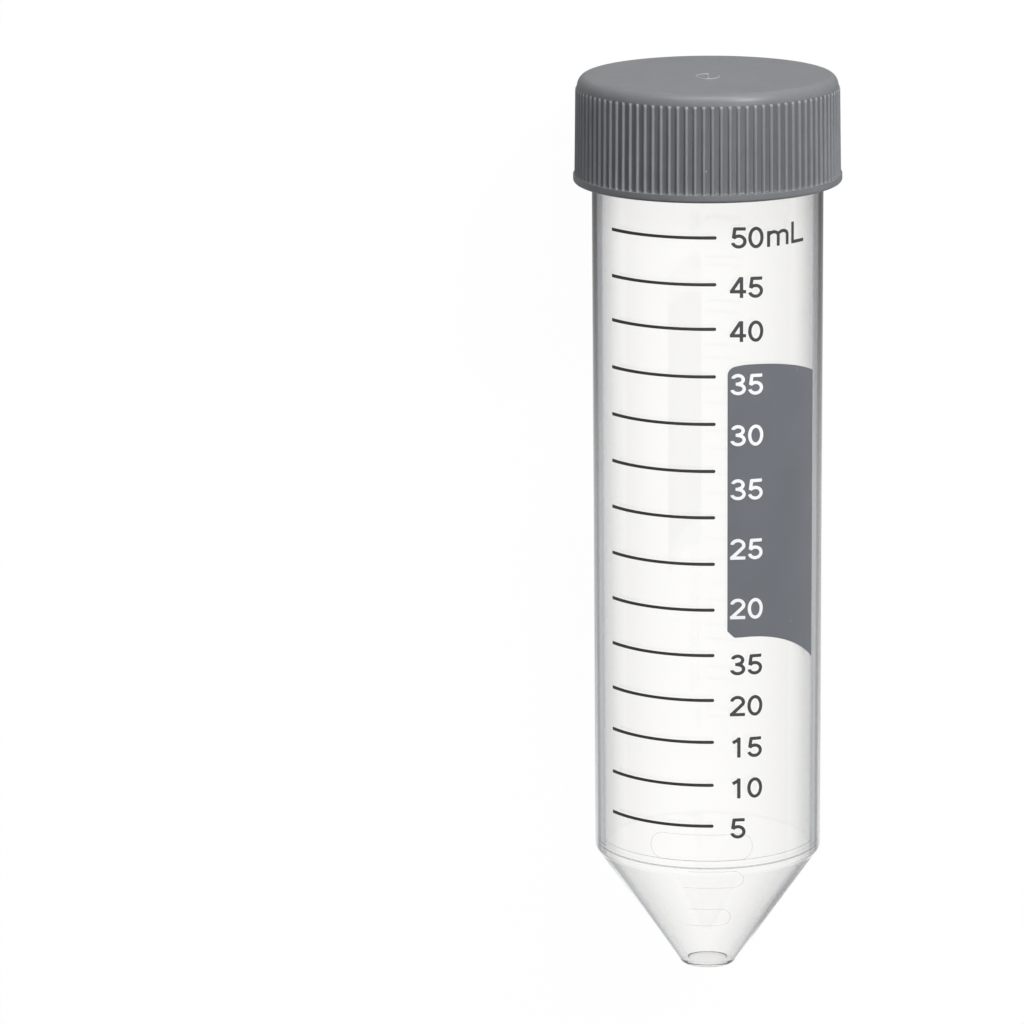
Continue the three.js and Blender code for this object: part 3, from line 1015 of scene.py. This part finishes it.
def clear_plastic():
    """Clear polypropylene: faintly hazy, with a painted cool grey shade and reflection where the
    wall is seen edge on, greyer at the base of its tip, and with painted shade below the cap. It
    casts hardly any shadow, as the thin wall of a real tube does."""
    recipe = Recipe("clear_plastic", Roughness=0.03, IOR=1.49, Transmission_Weight=1.0)
    away = turned_away(recipe)
    tone = recipe.carried("edge_tone")
    # painted shade and reflection where the wall is seen edge on
    cone, barrel = edge_shade_ramp(recipe, CONE_EDGE_SHADE, away), edge_shade_ramp(recipe, BARREL_EDGE_SHADE, away)
    painted_colour = recipe.mixed(recipe.mapped(tone, 0.0, ON_CONE), NO_TINT, cone)
    painted_colour = recipe.mixed(recipe.mapped(tone, ON_CONE, ON_BARREL), painted_colour, barrel)
    # grey base of the tip and painted shade below the cap
    painted_colour = recipe.mixed(recipe.carried("greying_and_shade"), painted_colour, GREYING_AND_SHADE_COLOUR, blend_type="MULTIPLY")
    recipe.link(painted_colour, recipe.shader.inputs["Base Color"])
    shadow = recipe.node("ShaderNodeLightPath").outputs["Is Shadow Ray"]
    solid = recipe.math("MULTIPLY_ADD", shadow, -SHADOW_LET_THROUGH, 1.0)
    recipe.link(solid, recipe.shader.inputs["Alpha"])
    return recipe.material


# How the cap's plastic is darker between its ribs, a painted shade, and paler along their crests, a
# painted highlight
VALLEY_PAINTED_SHADE = 0.75
CREST_PAINTED_HIGHLIGHT = 1.25


def cap_plastic(grain, specks):
    recipe = Recipe("cap_plastic", Roughness=0.3, Specular_IOR_Level=0.27)
    colour = grained(recipe, grain, srgb(110, 112, 115), srgb(122, 124, 127), 0.12, 2.5, 0.006)
    # painted shade in the rib valleys, painted highlight on the crests and their upper ends
    tone = recipe.carried("rib_light_and_shade")
    shade = recipe.mapped(tone, 0.0, 1.0, VALLEY_PAINTED_SHADE, CREST_PAINTED_HIGHLIGHT, clamp=False)
    shaded = recipe.node("ShaderNodeVectorMath", operation="SCALE")
    recipe.link(colour, shaded.inputs[0])
    recipe.link(shade, shaded.inputs["Scale"])
    dusted(recipe, specks, shaded.outputs["Vector"], 4.0, 0.022, srgb(190, 194, 198))
    return recipe.material


def patch_ink(grain, specks):
    recipe = Recipe("patch_ink", Roughness=0.55, Specular_IOR_Level=0.3)
    colour = grained(recipe, grain, srgb(102, 105, 110), srgb(110, 114, 120), 0.25, 6.0, 0.003)
    dusted(recipe, specks, colour, 3.5, 0.02, srgb(165, 170, 176))
    return recipe.material


# Materials with a mottled colour, a fine bump and nothing more: roughness, specular level, alpha,
# the two tones, and the sizes of the grain, the mottling and the bump in millimetres. The gate mark
# is paler than the rest of the cap's plastic.
PLAIN_MATERIALS = (
    ("gate_plastic", 0.4, 0.35, 1.0, (136, 140, 144), (148, 152, 156), 0.12, 1.0, 0.004),
    ("mould_line", 0.3, 0.5, 0.3, (120, 124, 132), (140, 143, 150), 0.5, 2.0, 0.002),
    ("mould_line_faint", 0.3, 0.5, 0.12, (120, 124, 132), (140, 143, 150), 0.5, 2.0, 0.002),
    ("mark_ink", 0.5, 0.3, 1.0, (52, 51, 51), (66, 65, 65), 0.2, 1.5, 0.003),
    ("numeral_ink", 0.5, 0.3, 1.0, (62, 63, 65), (76, 77, 79), 0.2, 1.5, 0.003),
    ("white_ink", 0.5, 0.3, 1.0, (240, 241, 242), (250, 250, 250), 0.2, 1.5, 0.003),
    ("seal_foam", 0.85, 0.2, 1.0, (232, 232, 226), (243, 243, 238), 0.3, 1.0, 0.03),
)


def plain_material(grain, name, roughness, specular, alpha, dark, light, *sizes):
    """A material of the table above."""
    recipe = Recipe(name, Roughness=roughness, Specular_IOR_Level=specular, Alpha=alpha)
    colour = grained(recipe, grain, srgb(*dark), srgb(*light), *sizes)
    recipe.link(colour, recipe.shader.inputs["Base Color"])
    return recipe.material


# ------------ stage, lamps and camera

# How bright the floor looks to the camera, the painted light that the left and the right of the
# clear wall add to it, and the painted shade by which mirror images lose brightness: nothing below
# the tube's middle, all of it from the cap's mouth
FLOOR_GLOW = 1.01
GLOW_SHARE = 0.96             # the rest is lit by the lamps, and keeps the shadow
THROUGH_LEFT, THROUGH_RIGHT = 0.07, 0.03
LEFT_PLACE, RIGHT_PLACE = -0.004, 0.009      # metres
MIRROR_LOSS = 0.75
LOSS_START, LOSS_END = 0.0, 0.045            # metres
FLOOR_HALF = 2.0


def floor():
    """A wide white sheet that keeps a soft shadow. Painted shade makes it dimmer where the cap
    mirrors it, and a little dimmer through the right of the clear wall than through the left."""
    recipe = Recipe(
        "floor_white", Base_Color=(0.85, 0.85, 0.85, 1), Roughness=0.9, Specular_IOR_Level=0.1,
    )
    ray = recipe.node("ShaderNodeLightPath").outputs
    mirrored, through = ray["Is Glossy Ray"], ray["Is Transmission Ray"]
    place_on_floor = recipe.node("ShaderNodeSeparateXYZ")
    recipe.link(recipe.node("ShaderNodeTexCoord").outputs["Object"], place_on_floor.inputs[0])
    x, y = place_on_floor.outputs["X"], place_on_floor.outputs["Y"]
    # painted light through the clear wall, less through its right
    added = recipe.mapped(x, LEFT_PLACE, RIGHT_PLACE, THROUGH_LEFT, THROUGH_RIGHT)
    strength = recipe.math("MULTIPLY_ADD", through, added, FLOOR_GLOW)
    only_mirrored = recipe.math("SUBTRACT", mirrored, through, use_clamp=True)
    # painted shade in what the cap mirrors
    lost = recipe.math("MULTIPLY", only_mirrored, recipe.mapped(y, LOSS_START, LOSS_END))
    strength = recipe.math("MULTIPLY_ADD", lost, -MIRROR_LOSS, strength)
    seen = recipe.math("MAXIMUM", ray["Is Camera Ray"], mirrored)
    seen = recipe.math("MAXIMUM", seen, through)
    glow = recipe.node("ShaderNodeEmission")
    recipe.link(strength, glow.inputs["Strength"])
    share = recipe.math("MULTIPLY", seen, GLOW_SHARE)
    recipe.surface(share, recipe.shader.outputs[0], glow.outputs[0], "Material Output")
    half = FLOOR_HALF
    corners = [(-half, -half, 0), (half, -half, 0), (half, half, 0), (-half, half, 0)]
    mesh = bpy.data.meshes.new("floor")
    mesh.from_pydata(corners, [], [(0, 1, 2, 3)])
    mesh.materials.append(recipe.material)
    sheet = add("floor", mesh)


# How bright the room is in mirror images, and otherwise
ROOM_MIRRORED = 0.35
ROOM_DARK = 0.02


def world():
    """White to the camera and through the clear wall, pale in mirror images, dark otherwise."""
    made = bpy.data.worlds.new("room")
    bpy.context.scene.world = made
    made.use_nodes = True
    nodes = Nodes(made.node_tree)
    room = made.node_tree.nodes["Background"]
    room.inputs["Color"].default_value = (1, 1, 1, 1)
    white = nodes.node("ShaderNodeBackground", Color=(1, 1, 1, 1))
    ray = nodes.node("ShaderNodeLightPath").outputs
    crest_highlight = nodes.math("MULTIPLY_ADD", ray["Is Glossy Ray"], ROOM_MIRRORED - ROOM_DARK, ROOM_DARK)
    seen = nodes.math("MAXIMUM", ray["Is Camera Ray"], ray["Is Transmission Ray"])
    nodes.link(crest_highlight, room.inputs["Strength"])
    nodes.surface(seen, room.outputs[0], white.outputs[0], "World Output")


# What the lamps point at, in metres
TUBE_MIDDLE = Vector((0, 0, 0.017))

# (name, place in metres, width and height in metres, watts)
LAMPS = (
    ("lamp_over_right", (0.45, 0.6, 0.5), (0.6, 0.6), 1.8),
    ("lamp_over_cap", (0, 0.65, 0.5), (0.6, 0.6), 2.3),
    ("lamp_rim", (0.53, 0.64, 0.7), (0.26, 0.14), 4.6),
    ("lamp_rim_soft", (0, 0.85, 0.42), (0.8, 0.14), 3.3),
    ("lamp_right", (0.32, 0.1, 0.75), (0.6, 0.6), 1.5),
    ("lamp_front", (0, 0.1, 0.85), (0.6, 0.6), 0.6),
)


def softbox(name, where, size, power, unlit):
    """An area lamp at a place in metres, turned to the middle of the tube. The collection unlit
    says what it leaves alone."""
    lamp = bpy.data.lights.new(name, "AREA")
    lamp.shape = "RECTANGLE"
    lamp.size, lamp.size_y = size
    lamp.energy = power
    box = add(name, lamp)
    box.location = where
    box.rotation_euler = (TUBE_MIDDLE - Vector(where)).to_track_quat("-Z", "Y").to_euler()
    box.light_linking.receiver_collection = unlit


# The camera looks down on the print from a little towards the cap, with the cap's end up.
CAMERA_DISTANCE = 644.34      # from the tube's axis
CAMERA_ALONG = 217.47         # above the tip, along the axis
CAMERA_PITCH = 13.70          # degrees towards the tip
CAMERA_YAW = 2.172            # degrees to the left, which puts the tube right of the middle
CAMERA_LENS = 181.3           # on a sensor 36 mm wide


def camera():
    """The camera of the photograph."""
    pitch, yaw = math.radians(CAMERA_PITCH), math.radians(CAMERA_YAW)
    ahead = -FRONT * math.cos(pitch) - AXIS * math.sin(pitch)
    up = AXIS * math.cos(pitch) - FRONT * math.sin(pitch)
    ahead = ahead * math.cos(yaw) - RIGHT * math.sin(yaw)
    right = ahead.cross(up)
    lens = bpy.data.cameras.new("camera")
    lens.sensor_width = 36
    lens.lens = CAMERA_LENS
    lens.clip_start, lens.clip_end = 0.01, 10
    made = add("camera", lens)
    turned = Matrix((right, up, -ahead)).transposed().to_4x4()
    where = TIP + AXIS * CAMERA_ALONG * MM + FRONT * CAMERA_DISTANCE * MM
    made.matrix_world = Matrix.Translation(where) @ turned
    bpy.context.scene.camera = made


# ------------ the whole

grain, specks = moulded_grain(), dust_specks()
plain = {name: plain_material(grain, name, *values) for name, *values in PLAIN_MATERIALS}

clear_tube = tube_wall(clear_plastic())
cap_shell(cap_plastic(grain, specks))
seal_disc(plain["seal_foam"])
gate_mark(plain["gate_plastic"])
mould_lines(plain["mould_line"], plain["mould_line_faint"])
patch_print(patch_ink(grain, specks))
for i, height in enumerate(MARK_HEIGHTS, 1):
    scale_line(i, height, plain["mark_ink"])
for i, (text, base) in enumerate(LABELS, 1):
    on_patch = PATCH_BOTTOM < base < PATCH_TOP
    numeral(i, text, base, on_patch, plain["white_ink" if on_patch else "numeral_ink"])

floor()
world()
unlit = bpy.data.collections.new("clear_pieces")
unlit.objects.link(clear_tube)
unlit.collection_objects[0].light_linking.link_state = "EXCLUDE"
for lamp in LAMPS:
    softbox(*lamp, unlit)
camera()

bpy.context.scene.view_settings.view_transform = "Standard"
